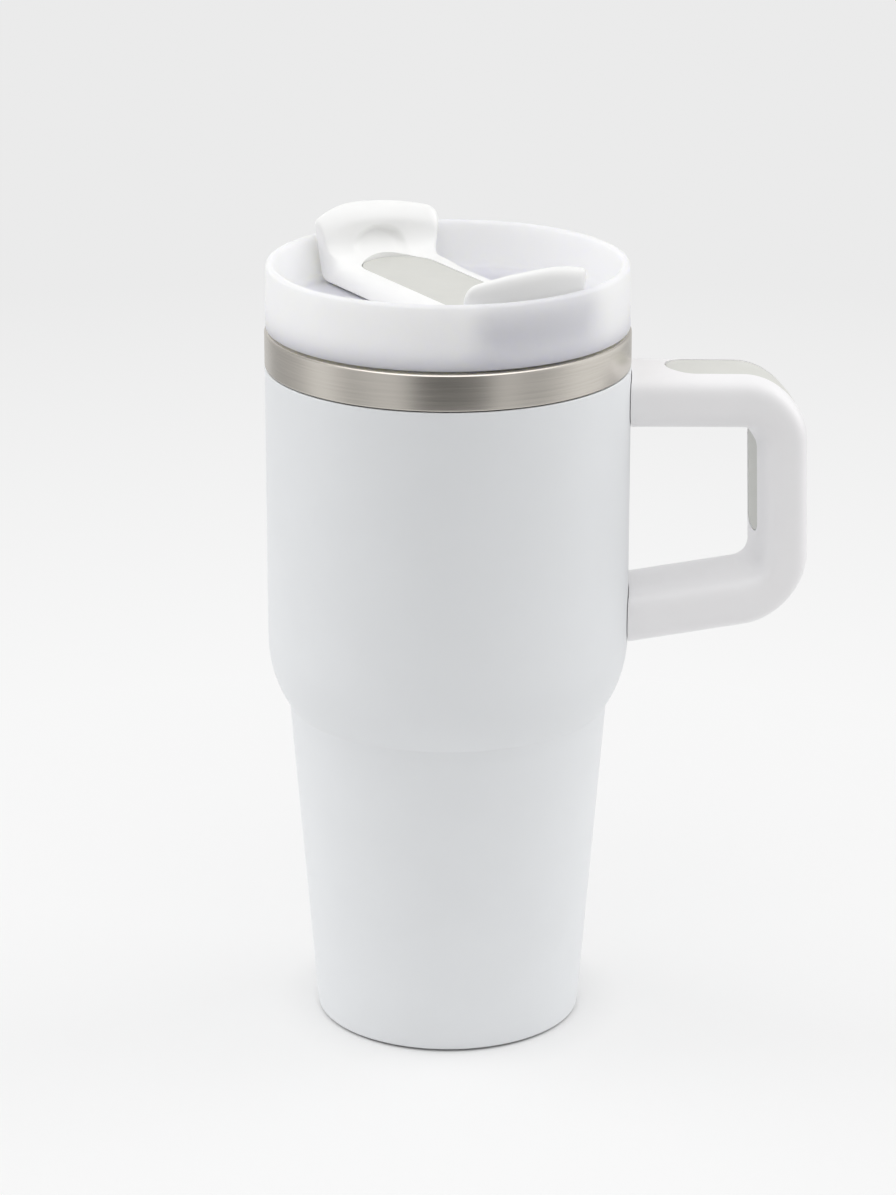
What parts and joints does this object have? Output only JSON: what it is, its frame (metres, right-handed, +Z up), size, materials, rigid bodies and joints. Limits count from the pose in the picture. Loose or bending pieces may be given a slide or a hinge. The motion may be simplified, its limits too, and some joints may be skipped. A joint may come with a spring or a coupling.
{
  "type": "insulated tumbler",
  "caption": "Double-wall steel tumbler with a slim foot, a bare steel mouth band, a loop handle, a frosted screw-in lid and a rotating cover that opens its sip slot and straw hole.",
  "frame": {"origin": "centre of the flat underside, on the cup's axis and the surface it stands on", "axes": "+Z up along the cup's axis, +X towards the handle"},
  "size_m": [0.1335, 0.089, 0.2007],
  "materials": {
    "powder_coat": "fine powder coat, satin white",
    "brushed_steel": "brushed round the axis",
    "pressed_steel": "pressed, bare",
    "solder_glass": "fused, dark",
    "getter_alloy": "sintered, dull",
    "cap_steel": "spun, satin",
    "handle_plastic": "moulded, satin white",
    "grip_rubber": "soft moulded, light grey",
    "bracket_steel": "stamped",
    "screw_steel": "bright stainless",
    "plug_rubber": "soft moulded, light grey",
    "silicone": "milky silicone",
    "frosted_plastic": "milky, frosted and translucent",
    "cover_plastic": "moulded, semi-gloss white",
    "inlay_rubber": "soft moulded, warm light grey",
    "acetal": "turned, white"
  },
  "bodies": {
    "cup": {"outer_shell": "powder_coat", "inner_liner": "brushed_steel", "outer_base": "pressed_steel", "seal_bead": "solder_glass", "getter": "getter_alloy", "base_cap": "cap_steel", "handle_body": "handle_plastic", "outer_grip": "grip_rubber", "inner_grip": "grip_rubber", "upper_bracket": "bracket_steel", "lower_bracket": "bracket_steel", "upper_screw": "screw_steel", "lower_screw": "screw_steel", "upper_plug": "plug_rubber", "lower_plug": "plug_rubber"},
    "gasket": {"lid_gasket": "silicone"},
    "lid": {"lid_body": "frosted_plastic"},
    "cover": {"cover_bar": "cover_plastic", "cover_inlay": "inlay_rubber", "pivot_seal": "silicone", "pivot_washer": "acetal", "pivot_screw": "screw_steel", "sip_seal": "silicone", "straw_seal": "silicone"}
  },
  "joints": [
    {"name": "lid_lift", "type": "slide", "parent": "cup", "child": "gasket", "axis": [0, 0, 1], "range_m": [0, 0.015]},
    {"name": "lid_turn", "type": "hinge", "parent": "gasket", "child": "lid", "pos_m": [0, 0, 0.1779], "axis": [0, 0, 1], "range_deg": [0, 900]},
    {"name": "cover_turn", "type": "hinge", "parent": "lid", "child": "cover", "pos_m": [0, 0, 0.1819], "axis": [0, 0, 1], "range_deg": [-90, 90]}
  ],
  "couplings": [
    {"joint": "lid_lift", "follows": "lid_turn", "m_per_rad": 0.00095493}
  ]
}
